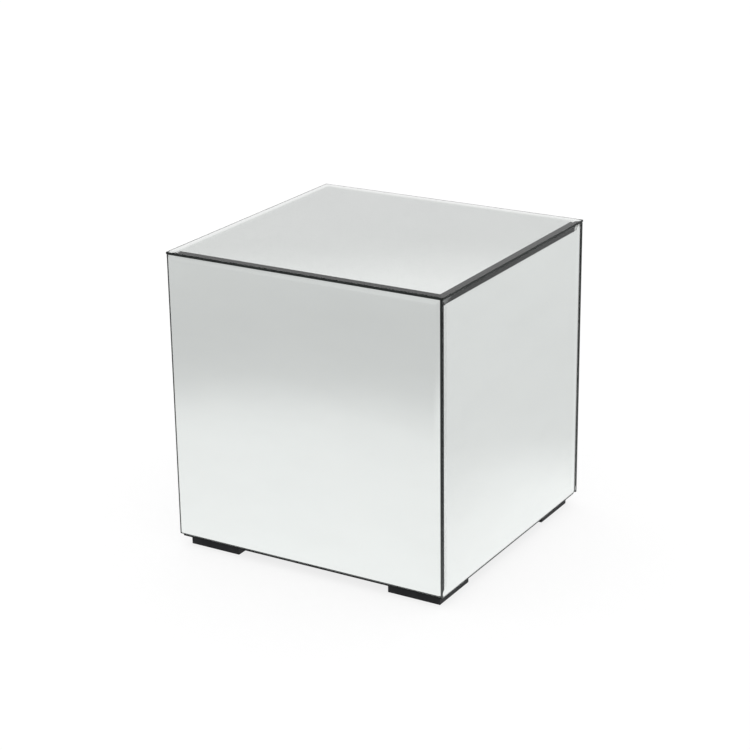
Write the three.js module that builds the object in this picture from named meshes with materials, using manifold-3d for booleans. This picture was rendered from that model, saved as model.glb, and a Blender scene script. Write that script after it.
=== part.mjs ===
// A mirrored cube side table: bevelled mirror panes bedded on a board carcass, on four flat black feet.
// Millimetres, +Z up. The origin is on the floor, under the middle of the table; the front faces -Y.
import * as THREE from 'three';
import { ConvexGeometry } from 'three/addons/geometries/ConvexGeometry.js';
import { mergeVertices } from 'three/addons/utils/BufferGeometryUtils.js';
import Module from 'manifold-3d';

// Outside of the table
const WIDTH = 400; // along X
const DEPTH = 383; // along Y
const HEIGHT = 407.5; // floor to the face of the top pane

// Mirror panes
const GLASS = 4; // thickness of every pane
const BEVEL = 8.5; // width of the ground bevel round each pane's face
const BEVEL_DROP = 1.05; // how much thinner the bevel leaves the pane at its edge
const PANE_JOINT = 0.6; // open joint between one pane and the next
const BED = 1.5; // room behind a pane for its adhesive
const BEAD_WIDTH = 14; // adhesive, laid as one winding bead
const BEAD_ROWS = 5;
const BEAD_MARGIN = 35; // from the pane's edge to the bead

// Carcass
const BOARD = 12;
const GLUE = 0.3; // glue line, and the gap kept wherever two pieces touch
const BATTEN = 18; // square battens in the upright corners
const DOWEL_DIAMETER = 6;
const DOWEL_LENGTH = 24;
const DOWEL_IN_FACE = 8; // how far a dowel stands in the face of a board; the rest is in the other's edge
const DOWEL_SPREAD = 110; // dowels lie this far either side of the middle

// Underside
const BASE = 3; // black board that closes the underside
const BASE_INSET = 3.6; // from the faces of the panes
const FOOT = 75; // square feet
const FOOT_HEIGHT = 12.7;
const FOOT_INSET = 11.4; // from the faces of the panes
const SCREW_DIAMETER = 4;
const SCREW_HEAD = 8; // countersunk, 90 degrees
const SCREW_LENGTH = 25;
const SCREW_RIM = 0.5; // straight edge of the head, before its cone
const SCREW_POINT = 3;
const SCREW_SUNK = 1.2; // the head lies this far inside the underside of the foot
const SCREW_OFFSET = 17; // two screws to a foot, on its diagonal
const ROUND = 24; // sides of each dowel and screw

// Worked out from the above
const HALF_WIDTH = WIDTH / 2;
const HALF_DEPTH = DEPTH / 2;
const baseBottom = FOOT_HEIGHT + GLUE;
const baseTop = baseBottom + BASE;
const paneBottom = baseTop + GLUE;
const paneTop = HEIGHT - GLASS - PANE_JOINT;
const boxHalfWidth = HALF_WIDTH - GLASS - BED;
const boxHalfDepth = HALF_DEPTH - GLASS - BED;
const boxTop = HEIGHT - GLASS - BED;
const boardTop = boxTop - BOARD - GLUE; // the upright boards end here, under the top board
const bottomBoardTop = paneBottom + BOARD;
const innerHalfWidth = boxHalfWidth - BOARD - GLUE;
const innerHalfDepth = boxHalfDepth - BOARD - GLUE;

const wasm = await Module();
wasm.setup();

const table = new THREE.Group();

const material = (colour, roughness, metalness = 0) =>
  new THREE.MeshStandardMaterial({ color: colour, roughness, metalness });
const silvered = material('#c9cfcd', 0.03, 1);
const board = material('#b48f66', 0.85);
const pine = material('#d3b280', 0.8);
const beech = material('#c9a06c', 0.7);
const blackPaint = material('#101112', 0.55);
const zinc = material('#9a9ea2', 0.35, 1);
const mastic = material('#e4e0d4', 0.6);

function add(name, geometry, look, position = [0, 0, 0]) {
  const mesh = new THREE.Mesh(geometry, look);
  mesh.name = name;
  mesh.position.set(...position);
  table.add(mesh);
  return mesh;
}

// Boolean cuts

function toSolid(geometry) {
  const bare = geometry.clone();
  bare.deleteAttribute('normal');
  bare.deleteAttribute('uv');
  const merged = mergeVertices(bare, 1e-4);
  const mesh = new wasm.Mesh({
    numProp: 3,
    vertProperties: new Float32Array(merged.attributes.position.array),
    triVerts: new Uint32Array(merged.index.array),
  });
  return new wasm.Manifold(mesh);
}

function cut(geometry, tools) {
  let solid = toSolid(geometry);
  for (const tool of tools) solid = solid.subtract(toSolid(tool));
  const mesh = solid.getMesh();
  const result = new THREE.BufferGeometry();
  result.setAttribute('position', new THREE.BufferAttribute(new Float32Array(mesh.vertProperties), 3));
  result.setIndex(new THREE.BufferAttribute(new Uint32Array(mesh.triVerts), 1));
  result.computeVertexNormals();
  return result;
}

// A box between two corners, in the table's own frame
function boxBetween([x0, y0, z0], [x1, y1, z1]) {
  const box = new THREE.BoxGeometry(x1 - x0, y1 - y0, z1 - z0);
  return box.translate((x0 + x1) / 2, (y0 + y1) / 2, (z0 + z1) / 2);
}

// Mirror panes. A pane lies in XY with its silvered back at z = 0 and its bevelled face up.

function paneGeometry(width, height) {
  const ring = (halfWidth, halfHeight, z) =>
    [[-1, -1], [1, -1], [1, 1], [-1, 1]].map(([sx, sy]) =>
      new THREE.Vector3(sx * halfWidth, sy * halfHeight, z));
  return new ConvexGeometry([
    ...ring(width / 2, height / 2, 0),
    ...ring(width / 2, height / 2, GLASS - BEVEL_DROP),
    ...ring(width / 2 - BEVEL, height / 2 - BEVEL, GLASS),
  ]);
}

// The winding bead of adhesive behind a pane, as one flat strip that turns back at the end of each row
function beadGeometry(width, height) {
  const reach = width / 2 - BEAD_MARGIN;
  const rise = height - 2 * BEAD_MARGIN;
  const path = [];
  for (let row = 0; row < BEAD_ROWS; row++) {
    const y = rise * (row / (BEAD_ROWS - 1) - 0.5);
    const start = row % 2 ? reach : -reach;
    path.push(new THREE.Vector2(start, y), new THREE.Vector2(-start, y));
  }
  const side = (sign) => path.map((point, i) => {
    const before = path[Math.max(i - 1, 0)];
    const after = path[Math.min(i + 1, path.length - 1)];
    const offset = new THREE.Vector2();
    for (const [a, b] of [[before, point], [point, after]]) {
      const along = b.clone().sub(a).normalize();
      offset.add(new THREE.Vector2(-along.y, along.x));
    }
    return point.clone().addScaledVector(offset, sign * BEAD_WIDTH / 2);
  });
  const outline = new THREE.Shape([...side(1), ...side(-1).reverse()]);
  const thickness = BED - 2 * GLUE;
  return new THREE.ExtrudeGeometry(outline, { depth: thickness, bevelEnabled: false });
}

// Stands a pane up with its face to -Y, then turns it with its place to its side of the table
function addUpright(name, geometry, look, turn, place) {
  const side = new THREE.Group();
  side.rotation.z = turn;
  const mesh = new THREE.Mesh(geometry, look);
  mesh.name = name;
  mesh.rotation.x = Math.PI / 2;
  mesh.position.set(...place);
  side.add(mesh);
  table.add(side);
}

function addPanes() {
  add('top_mirror', paneGeometry(WIDTH, DEPTH), silvered, [0, 0, HEIGHT - GLASS]);
  add('adhesive_top', beadGeometry(WIDTH, DEPTH), mastic, [0, 0, boxTop + GLUE]);
  const height = paneTop - paneBottom;
  const middle = (paneTop + paneBottom) / 2;
  // Each upright pane covers the end of the pane on its left, and its own right end is covered in turn.
  const covered = GLASS + PANE_JOINT;
  const sides = [
    ['front', 0, WIDTH, HALF_DEPTH],
    ['right', Math.PI / 2, DEPTH, HALF_WIDTH],
    ['back', Math.PI, WIDTH, HALF_DEPTH],
    ['left', -Math.PI / 2, DEPTH, HALF_WIDTH],
  ];
  for (const [where, turn, side, half] of sides) {
    const width = side - covered;
    const shift = -covered / 2;
    addUpright(`${where}_mirror`, paneGeometry(width, height), silvered, turn,
      [shift, GLASS - half, middle]);
    addUpright(`adhesive_${where}`, beadGeometry(width, height), mastic, turn,
      [shift, GLASS + BED - GLUE - half, middle]);
  }
}

// Carcass

const holeRadius = DOWEL_DIAMETER / 2 + GLUE;

// A dowel, or with a wider radius the hole for one, centred on a joint and lying along an axis.
// `into` is the side on which the dowel stands in a board's face.
function dowelGeometry(axis, into, radius, ends) {
  const shaft = new THREE.CylinderGeometry(radius, radius, DOWEL_LENGTH + 2 * ends, ROUND);
  shaft.translate(0, DOWEL_IN_FACE - DOWEL_LENGTH / 2, 0); // +Y is the side in the face
  if (axis === 'z') return shaft.rotateX(into * Math.PI / 2);
  return shaft.rotateZ(-into * Math.PI / 2);
}

// Each joint: name, axis, side, and its place
function dowelJoints() {
  const joints = [];
  for (const [side, sx] of [['left', -1], ['right', 1]]) {
    for (const [end, sy] of [['front', -1], ['back', 1]]) {
      const x = sx * (boxHalfWidth - BOARD / 2);
      const y = sy * DOWEL_SPREAD;
      joints.push({ name: `dowel_top_${side}_${end}`, axis: 'z', into: 1,
        place: [x, y, boardTop + GLUE / 2] });
      joints.push({ name: `dowel_bottom_${side}_${end}`, axis: 'x', into: sx,
        place: [sx * (innerHalfWidth + GLUE / 2), y, paneBottom + BOARD / 2] });
    }
  }
  return joints;
}

// Screws up through each foot: the name and place of each screw, with its foot's name
function screwPlaces() {
  const places = [];
  for (const foot of footPlaces()) {
    for (const [which, s] of [['inner', -1], ['outer', 1]]) {
      const [x, y] = foot.centre;
      places.push({ name: `foot_screw_${foot.name}_${which}`, foot: foot.name,
        x: x + s * Math.sign(x) * SCREW_OFFSET, y: y + s * Math.sign(y) * SCREW_OFFSET });
    }
  }
  return places;
}

function footPlaces() {
  const x = HALF_WIDTH - FOOT_INSET - FOOT / 2;
  const y = HALF_DEPTH - FOOT_INSET - FOOT / 2;
  return [
    { name: 'front_left', centre: [-x, -y] },
    { name: 'front_right', centre: [x, -y] },
    { name: 'back_left', centre: [-x, y] },
    { name: 'back_right', centre: [x, y] },
  ];
}

// Outline of a countersunk screw, or of its hole when grown by `play`, turned about Z
function screwGeometry(play) {
  const head = SCREW_HEAD / 2 + play;
  const shank = SCREW_DIAMETER / 2 + play;
  const rim = SCREW_RIM + play;
  const bottom = play ? -2 * SCREW_SUNK : 0; // a hole opens out through the underside
  const profile = [
    [0, bottom],
    [head, bottom],
    [head, rim],
    [shank, rim + head - shank],
    [shank, SCREW_LENGTH - SCREW_POINT + play],
    [0, SCREW_LENGTH + play],
  ];
  const lathe = new THREE.LatheGeometry(profile.map(([r, z]) => new THREE.Vector2(r, z)), ROUND);
  return lathe.rotateX(Math.PI / 2);
}

function addCarcass() {
  const joints = dowelJoints();
  const holes = (prefix) => joints
    .filter((joint) => joint.name.startsWith(prefix))
    .map(({ axis, into, place }) => dowelGeometry(axis, into, holeRadius, GLUE).translate(...place));

  const [w, d] = [boxHalfWidth, boxHalfDepth];
  add('carcass_top', cut(boxBetween([-w, -d, boxTop - BOARD], [w, d, boxTop]), holes('dowel_top')), board);
  for (const [side, sx] of [['left', -1], ['right', 1]]) {
    const near = Math.min(sx * w, sx * (w - BOARD));
    const upright = boxBetween([near, -d, paneBottom], [near + BOARD, d, boardTop]);
    const tools = [...holes(`dowel_top_${side}`), ...holes(`dowel_bottom_${side}`)];
    add(`carcass_${side}`, cut(upright, tools), board);
  }
  for (const [side, sy] of [['front', -1], ['back', 1]]) {
    const near = Math.min(sy * d, sy * (d - BOARD));
    add(`carcass_${side}`, boxBetween([-innerHalfWidth, near, paneBottom],
      [innerHalfWidth, near + BOARD, boardTop]), board);
  }
  const bottom = boxBetween([-innerHalfWidth, -innerHalfDepth, paneBottom],
    [innerHalfWidth, innerHalfDepth, bottomBoardTop]);
  add('carcass_bottom', cut(bottom, [...holes('dowel_bottom'), ...screwHoles()]), board);

  for (const { name, axis, into, place } of joints) {
    add(name, dowelGeometry(axis, into, DOWEL_DIAMETER / 2, 0), beech, place);
  }
  for (const [end, sy] of [['front', -1], ['back', 1]]) {
    for (const [side, sx] of [['left', -1], ['right', 1]]) {
      const x = sx * (innerHalfWidth - BATTEN / 2);
      const y = sy * (innerHalfDepth - BATTEN / 2);
      add(`corner_batten_${end}_${side}`, boxBetween(
        [x - BATTEN / 2, y - BATTEN / 2, bottomBoardTop + GLUE],
        [x + BATTEN / 2, y + BATTEN / 2, boardTop - GLUE]), pine);
    }
  }
}

// Underside

function screwHoles(foot) {
  return screwPlaces()
    .filter((screw) => !foot || screw.foot === foot)
    .map(({ x, y }) => screwGeometry(GLUE).translate(x, y, SCREW_SUNK));
}

function addUnderside() {
  const [w, d] = [HALF_WIDTH - BASE_INSET, HALF_DEPTH - BASE_INSET];
  add('base_board', cut(boxBetween([-w, -d, baseBottom], [w, d, baseTop]), screwHoles()), blackPaint);
  for (const { name, centre: [x, y] } of footPlaces()) {
    const block = boxBetween([x - FOOT / 2, y - FOOT / 2, 0], [x + FOOT / 2, y + FOOT / 2, FOOT_HEIGHT]);
    add(`foot_${name}`, cut(block, screwHoles(name)), blackPaint);
  }
  for (const { name, x, y } of screwPlaces()) {
    add(name, screwGeometry(0), zinc, [x, y, SCREW_SUNK]);
  }
}

addPanes();
addCarcass();
addUnderside();

export default table;
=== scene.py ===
"""Looks of the mirrored cube side table: silvered panes of bevelled glass on a board box, on flat black feet.

Everything is in metres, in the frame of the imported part: +Z up, the floor at z = 0, the front facing -Y.
"""

import math

import bmesh
import bpy
from mathutils import Matrix, Vector


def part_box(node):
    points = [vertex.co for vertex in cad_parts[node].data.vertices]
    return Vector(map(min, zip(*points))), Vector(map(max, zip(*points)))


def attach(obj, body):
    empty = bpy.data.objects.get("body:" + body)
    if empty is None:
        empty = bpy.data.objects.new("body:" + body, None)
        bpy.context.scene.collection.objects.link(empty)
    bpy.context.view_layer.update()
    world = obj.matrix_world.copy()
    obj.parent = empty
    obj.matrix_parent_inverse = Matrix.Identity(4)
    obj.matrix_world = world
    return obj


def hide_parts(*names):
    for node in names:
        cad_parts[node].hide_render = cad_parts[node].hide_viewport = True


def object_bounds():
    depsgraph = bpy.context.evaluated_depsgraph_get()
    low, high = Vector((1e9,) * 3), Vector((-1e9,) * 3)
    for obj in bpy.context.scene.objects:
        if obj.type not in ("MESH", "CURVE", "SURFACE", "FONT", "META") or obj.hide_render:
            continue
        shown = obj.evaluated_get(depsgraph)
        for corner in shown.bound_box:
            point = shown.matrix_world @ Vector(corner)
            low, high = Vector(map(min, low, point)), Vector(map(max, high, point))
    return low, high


MM = 0.001

# Glass panes: thickness, width of the bevel, what it takes off the edge, and the small flats on the arrises
GLASS = 4 * MM
BEVEL = 8.5 * MM
BEVEL_DROP = 1.05 * MM
ARRIS = 0.2 * MM

# Rounded edges of the black pieces
FOOT_ROUND = 0.8 * MM
BASE_ROUND = 0.5 * MM
ROUND_STEPS = 3
WELD = 0.001 * MM
FLAT_ANGLE = math.radians(1)
SHARP_ANGLE = math.radians(60)

# Camera
LENS = 97.29
SENSOR = 36.0
AZIMUTH = math.radians(30.93)
ELEVATION = math.radians(20.07)
ROLL = math.radians(-0.79)
TARGET = Vector((-0.00906, 0.0, 0.21264))
DISTANCE = 2.691
CLIP_END = 100.0

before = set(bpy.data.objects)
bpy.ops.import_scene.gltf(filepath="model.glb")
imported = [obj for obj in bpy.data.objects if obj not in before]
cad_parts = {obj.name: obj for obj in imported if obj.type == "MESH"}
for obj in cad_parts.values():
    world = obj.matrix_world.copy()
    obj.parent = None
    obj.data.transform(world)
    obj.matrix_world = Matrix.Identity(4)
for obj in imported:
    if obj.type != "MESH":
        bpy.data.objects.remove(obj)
cad_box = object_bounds()


def make_camera():
    back = Vector((
        math.sin(AZIMUTH) * math.cos(ELEVATION),
        -math.cos(AZIMUTH) * math.cos(ELEVATION),
        math.sin(ELEVATION),
    ))
    right = Vector((math.cos(AZIMUTH), math.sin(AZIMUTH), 0.0))
    up = back.cross(right)
    tilted_right = math.cos(ROLL) * right + math.sin(ROLL) * up
    tilted_up = math.cos(ROLL) * up - math.sin(ROLL) * right
    data = bpy.data.cameras.new("camera")
    data.lens = LENS
    data.sensor_width = SENSOR
    data.clip_end = CLIP_END
    camera = bpy.data.objects.new("camera", data)
    turn = Matrix((tilted_right, tilted_up, back)).transposed().to_4x4()
    camera.matrix_world = Matrix.Translation(TARGET + back * DISTANCE) @ turn
    bpy.context.scene.collection.objects.link(camera)
    bpy.context.scene.camera = camera


make_camera()


# Node helpers

def new_material(name):
    material = bpy.data.materials.new(name)
    material.use_nodes = True
    tree = material.node_tree
    return material, tree, tree.nodes["Principled BSDF"]


def noise(tree, scale, detail=3.0, roughness=0.5, stretch=(1, 1, 1)):
    """Noise over the object's own metres, finer along an axis where stretch is larger; returns its value."""
    place = tree.nodes.new("ShaderNodeTexCoord")
    mapping = tree.nodes.new("ShaderNodeMapping")
    mapping.inputs["Scale"].default_value = stretch
    texture = tree.nodes.new("ShaderNodeTexNoise")
    texture.inputs["Scale"].default_value = scale
    texture.inputs["Detail"].default_value = detail
    texture.inputs["Roughness"].default_value = roughness
    tree.links.new(place.outputs["Object"], mapping.inputs["Vector"])
    tree.links.new(mapping.outputs["Vector"], texture.inputs["Vector"])
    return texture.outputs["Fac"]


def ramp(tree, value, stops, interpolation="LINEAR"):
    """Colours at given values between 0 and 1, blended from each to the next."""
    node = tree.nodes.new("ShaderNodeValToRGB")
    node.color_ramp.interpolation = interpolation
    elements = node.color_ramp.elements
    while len(elements) < len(stops):
        elements.new(0.5)
    for element, (position, colour) in zip(elements, stops):
        element.position = position
        element.color = (*colour, 1)
    tree.links.new(value, node.inputs["Fac"])
    return node.outputs["Color"]


def spread(tree, value, low, high, start=0.3, end=0.7):
    """Maps start..end of a value to low..high."""
    node = tree.nodes.new("ShaderNodeMapRange")
    node.inputs["From Min"].default_value = start
    node.inputs["From Max"].default_value = end
    node.inputs["To Min"].default_value = low
    node.inputs["To Max"].default_value = high
    tree.links.new(value, node.inputs["Value"])
    return node.outputs["Result"]


def connect(tree, value, socket):
    """Gives a socket an output's value, or a plain number or colour."""
    if isinstance(value, bpy.types.NodeSocket):
        tree.links.new(value, socket)
    else:
        socket.default_value = value


def mix(tree, fraction, first, second):
    """The first colour at a fraction of 0, and the second at 1."""
    node = tree.nodes.new("ShaderNodeMix")
    node.data_type = "RGBA"
    connect(tree, fraction, node.inputs["Factor"])
    connect(tree, first, node.inputs["A"])
    connect(tree, second, node.inputs["B"])
    return node.outputs["Result"]


def coordinate(tree, axis, space="Object"):
    """One axis of a texture coordinate."""
    place = tree.nodes.new("ShaderNodeTexCoord")
    split = tree.nodes.new("ShaderNodeSeparateXYZ")
    tree.links.new(place.outputs[space], split.inputs["Vector"])
    return split.outputs[axis]


def add_bump(tree, shader, height, distance):
    node = tree.nodes.new("ShaderNodeBump")
    node.inputs["Distance"].default_value = distance
    tree.links.new(height, node.inputs["Height"])
    tree.links.new(node.outputs["Normal"], shader.inputs["Normal"])


# Materials of the panes

def glass_material():
    """Clear float glass with a faint green cast and a few barely seen wiping marks."""
    material, tree, shader = new_material("clear_glass")
    wiped = noise(tree, scale=9, detail=4, roughness=0.6, stretch=(1.0, 1.0, 3.0))
    tint = ramp(tree, wiped, [
        (0.42, (0.966, 0.985, 0.977)),
        (0.72, (0.948, 0.966, 0.958)),
    ])
    tree.links.new(tint, shader.inputs["Base Color"])
    shader.inputs["Roughness"].default_value = 0.0
    shader.inputs["IOR"].default_value = 1.52
    shader.inputs["Transmission Weight"].default_value = 1.0
    return material


def silver_material():
    """Silvering on the back of the glass, very slightly uneven."""
    material, tree, shader = new_material("silvering")
    cloudy = noise(tree, scale=5, detail=2)
    tint = ramp(tree, cloudy, [
        (0.35, (0.965, 0.962, 0.955)),
        (0.65, (0.975, 0.970, 0.962)),
    ])
    tree.links.new(tint, shader.inputs["Base Color"])
    add_bump(tree, shader, noise(tree, scale=4, detail=1), distance=0.02 * MM)
    shader.inputs["Roughness"].default_value = 0.0
    shader.inputs["Metallic"].default_value = 1.0
    return material


def ground_edge_material():
    """The seamed edge of a pane: matt ground glass, dark with backing paint, and paler near the floor where
    light from the floor is painted into its colour.
    """
    material, tree, shader = new_material("ground_edge")
    grain = noise(tree, scale=900, detail=3, roughness=0.6)
    # Painted light: the colour gets paler towards the floor, standing in for light from the floor in front
    painted_light_near_floor = ramp(tree, coordinate(tree, "Z"), [
        (0.03, (0.110, 0.115, 0.112)),
        (0.09, (0.062, 0.066, 0.064)),
        (0.18, (0.030, 0.033, 0.032)),
        (0.36, (0.014, 0.016, 0.015)),
    ])
    plain_edge = ramp(tree, noise(tree, scale=60, detail=3), [
        (0.35, (0.012, 0.015, 0.014)),
        (0.65, (0.022, 0.027, 0.025)),
    ])
    # Share of the painted floor light in the edge's colour
    floor_light_share = 0.6
    tree.links.new(mix(tree, floor_light_share, plain_edge, painted_light_near_floor), shader.inputs["Base Color"])
    shader.inputs["Specular IOR Level"].default_value = 0.15
    tree.links.new(spread(tree, grain, low=0.30, high=0.55), shader.inputs["Roughness"])
    add_bump(tree, shader, grain, distance=0.03 * MM)
    return material


# Materials of everything else

def black_paint_material(name, tone, smoothest):
    """Black paint on board: a rolled-on texture, uneven patches and paint rubbed thin at a few places."""
    material, tree, shader = new_material(name)
    patches = noise(tree, scale=28, detail=4)
    worn = noise(tree, scale=220, detail=5, roughness=0.7)
    dark = tuple(channel * 0.7 for channel in tone)
    pale = tuple(channel * 1.6 + 0.002 for channel in tone)
    rubbed = (*(channel * 3.0 + 0.01 for channel in tone), 1)
    body = ramp(tree, patches, [(0.3, dark), (0.5, tone), (0.75, pale)])
    scuffs = ramp(tree, worn, [(0.66, (0, 0, 0)), (0.80, (1, 1, 1))])
    tree.links.new(mix(tree, scuffs, body, rubbed), shader.inputs["Base Color"])
    shader.inputs["Specular IOR Level"].default_value = 0.14
    tree.links.new(spread(tree, worn, low=smoothest, high=smoothest + 0.22), shader.inputs["Roughness"])
    add_bump(tree, shader, noise(tree, scale=700, detail=3, roughness=0.6), distance=0.05 * MM)
    return material


def fibreboard_material():
    """Raw fibreboard: short pale and dark fibres with a fuzzy sawn face."""
    material, tree, shader = new_material("raw_fibreboard")
    cloud = noise(tree, scale=14, detail=3)
    fibres = noise(tree, scale=900, detail=4, roughness=0.7, stretch=(1.0, 1.0, 0.25))
    base = ramp(tree, cloud, [(0.3, (0.33, 0.21, 0.115)), (0.7, (0.41, 0.27, 0.155))])
    fleck = ramp(tree, fibres, [(0.35, (0.24, 0.15, 0.08)), (0.65, (0.50, 0.35, 0.21))])
    fleck_share = 0.35
    tree.links.new(mix(tree, fleck_share, base, fleck), shader.inputs["Base Color"])
    tree.links.new(spread(tree, fibres, low=0.75, high=0.95), shader.inputs["Roughness"])
    add_bump(tree, shader, fibres, distance=0.06 * MM)
    return material


def wood_material(name, early, late, lines, stretch):
    """Solid wood with growth lines and much finer pores, both drawn out along the grain by stretch."""
    material, tree, shader = new_material(name)
    pores_to_lines = 9
    pore_share = 0.3
    growth = noise(tree, scale=lines, detail=3, roughness=0.55, stretch=stretch)
    pores = noise(tree, scale=lines * pores_to_lines, detail=4, roughness=0.7, stretch=stretch)
    tint = ramp(tree, growth, [(0.36, early), (0.52, late), (0.60, early)])
    pore_tint = ramp(tree, pores, [(0.30, tuple(channel * 0.72 for channel in late)), (0.5, early)])
    tree.links.new(mix(tree, pore_share, tint, pore_tint), shader.inputs["Base Color"])
    tree.links.new(spread(tree, pores, low=0.5, high=0.8), shader.inputs["Roughness"])
    add_bump(tree, shader, pores, distance=0.08 * MM)
    return material


def mastic_material():
    """Cured mirror adhesive, squeezed flat: off-white and slightly rubbery."""
    material, tree, shader = new_material("mastic")
    smear = noise(tree, scale=40, detail=3)
    tint = ramp(tree, smear, [(0.3, (0.68, 0.65, 0.56)), (0.7, (0.80, 0.77, 0.69))])
    tree.links.new(tint, shader.inputs["Base Color"])
    gloss = noise(tree, scale=90, detail=3)
    tree.links.new(spread(tree, gloss, low=0.4, high=0.65), shader.inputs["Roughness"])
    add_bump(tree, shader, smear, distance=0.3 * MM)
    return material


def zinc_material():
    """Bright zinc plating with faint turning marks."""
    material, tree, shader = new_material("zinc_plate")
    bloom = noise(tree, scale=120, detail=4)
    turned = noise(tree, scale=1500, detail=2, stretch=(0.2, 0.2, 1.0))
    tint = ramp(tree, bloom, [(0.3, (0.42, 0.43, 0.46)), (0.7, (0.58, 0.59, 0.60))])
    tree.links.new(tint, shader.inputs["Base Color"])
    tree.links.new(spread(tree, bloom, low=0.22, high=0.42), shader.inputs["Roughness"])
    add_bump(tree, shader, turned, distance=0.02 * MM)
    shader.inputs["Metallic"].default_value = 1.0
    return material


# Pieces

def link(name, mesh):
    piece = bpy.data.objects.new(name, mesh)
    bpy.context.scene.collection.objects.link(piece)
    return piece


def pane_mesh(name, width, height):
    """A pane in XY with its silvered back at z = 0; material slots: glass, silvering, ground edge."""
    bm = bmesh.new()
    profile = [
        (ARRIS, 0.0),
        (0.0, ARRIS),
        (0.0, GLASS - BEVEL_DROP - ARRIS),
        (ARRIS, GLASS - BEVEL_DROP),
        (BEVEL, GLASS),
    ]
    edge_bands = 3
    rings = []
    for inset, z in profile:
        x, y = width / 2 - inset, height / 2 - inset
        corners = ((-1, -1), (1, -1), (1, 1), (-1, 1))
        rings.append([bm.verts.new((sx * x, sy * y, z)) for sx, sy in corners])
    back = bm.faces.new(rings[0][::-1])
    back.material_index = 1
    for band, (low, high) in enumerate(zip(rings, rings[1:])):
        for i in range(4):
            j = (i + 1) % 4
            side = bm.faces.new((low[i], low[j], high[j], high[i]))
            side.material_index = 2 if band < edge_bands else 0
    bm.faces.new(rings[-1])
    mesh = bpy.data.meshes.new(name)
    bm.to_mesh(mesh)
    bm.free()
    return mesh


def add_panes():
    looks = [glass_material(), silver_material(), ground_edge_material()]
    turns = {"front": 0.0, "right": math.pi / 2, "back": math.pi, "left": -math.pi / 2}
    for where in ("top", "front", "right", "back", "left"):
        low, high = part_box(f"{where}_mirror")
        size = high - low
        centre = (low + high) / 2
        if where == "top":
            mesh = pane_mesh("top_pane", size.x, size.y)
            place = Matrix.Translation((centre.x, centre.y, low.z))
        else:
            along = size.x if where in ("front", "back") else size.y
            mesh = pane_mesh(f"{where}_pane", along, size.z)
            turn = Matrix.Rotation(turns[where], 4, "Z")
            out = turn @ Vector((0, -1, 0))
            back = Vector(centre) - out * GLASS / 2
            place = Matrix.Translation(back) @ turn @ Matrix.Rotation(math.pi / 2, 4, "X")
        mesh.transform(place)
        for look in looks:
            mesh.materials.append(look)
        piece = link(f"{where}_pane", mesh)
        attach(piece, "root")
        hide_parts(f"{where}_mirror")


def rounded_copy(node, name, radius, look):
    """A copy of a CAD node with its sharp edges rounded, standing in the node's place."""
    piece = link(name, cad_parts[node].data.copy())
    bm = bmesh.new()
    bm.from_mesh(piece.data)
    bmesh.ops.remove_doubles(bm, verts=bm.verts, dist=WELD)
    bmesh.ops.dissolve_limit(bm, angle_limit=FLAT_ANGLE, verts=bm.verts, edges=bm.edges)
    sharp = [edge for edge in bm.edges if edge.calc_face_angle(0.0) > SHARP_ANGLE]
    bmesh.ops.bevel(
        bm, geom=sharp, offset=radius, segments=ROUND_STEPS, profile=0.5, affect="EDGES", clamp_overlap=True,
    )
    bm.to_mesh(piece.data)
    bm.free()
    piece.data.materials.clear()
    piece.data.materials.append(look)
    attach(piece, "root")
    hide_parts(node)


def add_underside():
    paint = black_paint_material("foot_paint", (0.010, 0.0105, 0.0115), smoothest=0.38)
    dull = black_paint_material("base_paint", (0.007, 0.0072, 0.008), smoothest=0.55)
    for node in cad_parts:
        if node.startswith("foot_") and not node.startswith("foot_screw"):
            rounded_copy(node, f"{node}_block", FOOT_ROUND, paint)
    rounded_copy("base_board", "base_panel", BASE_ROUND, dull)


def finish_inner_pieces():
    """Gives each CAD node that stays as it is the material of its kind."""
    pine = wood_material("pine", (0.62, 0.42, 0.22), (0.48, 0.28, 0.12), lines=90, stretch=(1.0, 1.0, 0.06))
    beech = wood_material("beech", (0.55, 0.34, 0.19), (0.46, 0.27, 0.14), lines=260, stretch=(1.0, 1.0, 1.0))
    looks = {
        "carcass_": fibreboard_material(),
        "corner_batten_": pine,
        "dowel_": beech,
        "adhesive_": mastic_material(),
        "foot_screw_": zinc_material(),
    }
    for name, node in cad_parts.items():
        for prefix, look in looks.items():
            if name.startswith(prefix):
                node.data.materials.clear()
                node.data.materials.append(look)


add_panes()
add_underside()
finish_inner_pieces()


# Studio: a plain white floor, a layer of it with painted light for the mirrors, and a soft dome of light

FLOOR_REACH = 12.0
HALF_FADE = 0.5  # distance from the table, in metres, that stands halfway along the fall-off ramps

# Painted light of the floor in the mirrors: its glowing tone at distances from the table, in metres: in front
# it stays pale for longer, then goes darker than at the sides, and far away it is pale again all round
FRONT_PAINTED_LIGHT = (
    (0.0, 0.95),
    (0.15, 0.90),
    (0.35, 0.87),
    (0.5, 0.83),
    (0.65, 0.65),
    (1.0, 0.60),
    (2.0, 0.70),
    (7.0, 0.95),
)
SIDE_PAINTED_LIGHT = (
    (0.0, 0.98),
    (0.06, 0.95),
    (0.14, 0.86),
    (0.25, 0.75),
    (0.8, 0.735),
    (2.0, 0.78),
    (7.0, 0.95),
)
FLOOR_CAST = (0.983, 1.0, 1.0)

# From the front's painted light to the sides' painted light, along Y
FRONT_ENDS = -0.25
SIDES_START = 0.05

# The floor that the camera sees shines by itself, and what it also reflects leaves a very faint shadow
FLOOR_GREY = 0.24
FLOOR_GLOW = 0.8


def vector_math(tree, operation, vector, other=(0, 0, 0)):
    """An operation on a vector socket and a fixed vector; returns its node."""
    node = tree.nodes.new("ShaderNodeVectorMath")
    node.operation = operation
    node.inputs[1].default_value = other
    tree.links.new(vector, node.inputs[0])
    return node


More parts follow.
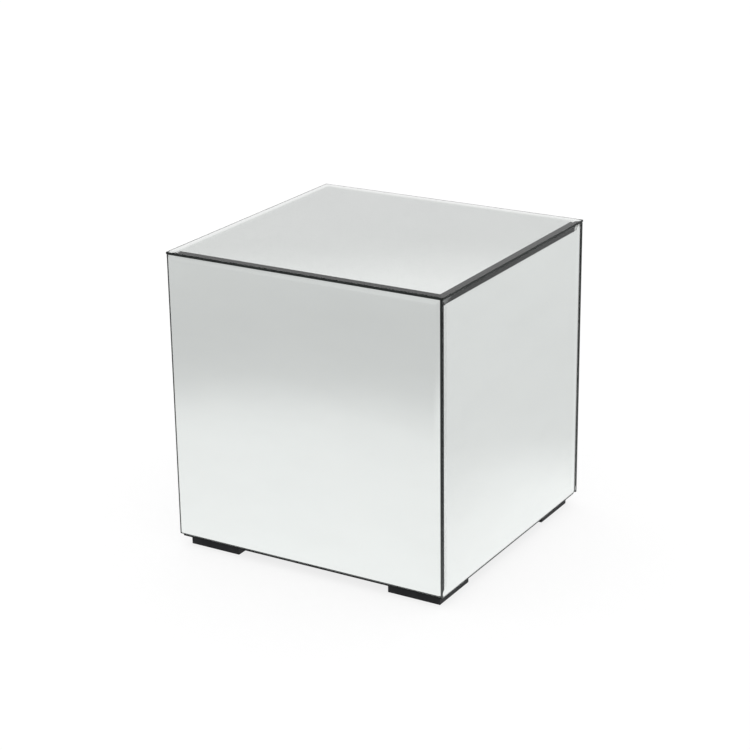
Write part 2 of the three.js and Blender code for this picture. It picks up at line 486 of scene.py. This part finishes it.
def fade_with_distance(tree):
    """0 beside the table, a half at HALF_FADE from it, and towards 1 far away."""
    half_width, half_depth, _ = cad_box[1]
    place = tree.nodes.new("ShaderNodeTexCoord")
    folded = vector_math(tree, "ABSOLUTE", place.outputs["Object"])
    beyond = vector_math(tree, "SUBTRACT", folded.outputs["Vector"], (half_width, half_depth, 0))
    outside = vector_math(tree, "MAXIMUM", beyond.outputs["Vector"])
    away = vector_math(tree, "LENGTH", outside.outputs["Vector"]).outputs["Value"]
    total = tree.nodes.new("ShaderNodeMath")
    total.operation = "ADD"
    total.inputs[1].default_value = HALF_FADE
    tree.links.new(away, total.inputs[0])
    fade = tree.nodes.new("ShaderNodeMath")
    fade.operation = "DIVIDE"
    tree.links.new(away, fade.inputs[0])
    tree.links.new(total.outputs["Value"], fade.inputs[1])
    return fade.outputs["Value"]


def fall_off(tree, fade, tones):
    """The floor's painted light for a fade, from tones given at distances in metres."""
    stops = []
    for away, tone in tones:
        colour = tuple(tone * channel for channel in FLOOR_CAST)
        stops.append((away / (away + HALF_FADE), colour))
    return ramp(tree, fade, stops, "B_SPLINE")


def mirrored_floor_material():
    """The floor as the mirrors see it, a glowing layer with painted light: pale beside the table, greyer
    further out and pale far away.
    """
    material, tree, shader = new_material("floor_in_mirrors_painted_light")
    fade = fade_with_distance(tree)
    front = fall_off(tree, fade, FRONT_PAINTED_LIGHT)
    sides = fall_off(tree, fade, SIDE_PAINTED_LIGHT)
    y = coordinate(tree, "Y")
    behind_front = spread(tree, y, low=0.0, high=1.0, start=FRONT_ENDS, end=SIDES_START)
    # Painted light: the floor glows with these falling-off tones instead of being lit
    tree.links.new(mix(tree, behind_front, front, sides), shader.inputs["Emission Color"])
    shader.inputs["Emission Strength"].default_value = 1.0
    shader.inputs["Base Color"].default_value = (0, 0, 0, 1)
    shader.inputs["Specular IOR Level"].default_value = 0.0
    return material


def white_floor_material():
    """The floor as the camera sees it."""
    material, tree, shader = new_material("white_floor")
    shader.inputs["Base Color"].default_value = (FLOOR_GREY, FLOOR_GREY, FLOOR_GREY, 1)
    shader.inputs["Roughness"].default_value = 1.0
    shader.inputs["Specular IOR Level"].default_value = 0.0
    shader.inputs["Emission Color"].default_value = (1, 1, 1, 1)
    shader.inputs["Emission Strength"].default_value = FLOOR_GLOW
    return material


def floor_plane(name, material, height=0.0):
    bm = bmesh.new()
    bmesh.ops.create_grid(bm, x_segments=1, y_segments=1, size=FLOOR_REACH)
    mesh = bpy.data.meshes.new(name)
    bm.to_mesh(mesh)
    bm.free()
    mesh.transform(Matrix.Translation((0, 0, height)))
    mesh.materials.append(material)
    plane = link(name, mesh)
    return plane


def add_floor():
    """One floor in two layers: a plain white one for the camera, and one for the mirrors whose painted light
    falls off away from the table.
    """
    white = floor_plane("floor", white_floor_material())
    white.visible_glossy = False
    white.visible_transmission = False
    # Glowing layer with painted light, seen only in the mirrors
    mirrored = floor_plane("floor_in_mirrors_painted_light", mirrored_floor_material(), MM)
    mirrored.visible_camera = False
    mirrored.visible_diffuse = False
    mirrored.visible_shadow = False


def add_dome():
    """A soft dome of light, by height: pale at the horizon, grey above it and bright overhead."""
    world = bpy.data.worlds.new("studio")
    world.use_nodes = True
    tree = world.node_tree
    colour = ramp(tree, coordinate(tree, "Z", space="Generated"), [
        (0.0, (0.97, 0.97, 0.97)),
        (0.12, (0.86, 0.86, 0.87)),
        (0.25, (0.73, 0.735, 0.74)),
        (0.283, (0.73, 0.74, 0.74)),
        (0.30, (0.86, 0.87, 0.87)),
        (0.6, (0.98, 0.98, 0.98)),
        (1.0, (0.98, 0.98, 0.98)),
    ])
    tree.links.new(colour, tree.nodes["Background"].inputs["Color"])
    tree.nodes["Background"].inputs["Strength"].default_value = 1.0
    bpy.context.scene.world = world


add_floor()
add_dome()
bpy.context.scene.view_settings.view_transform = "Standard"
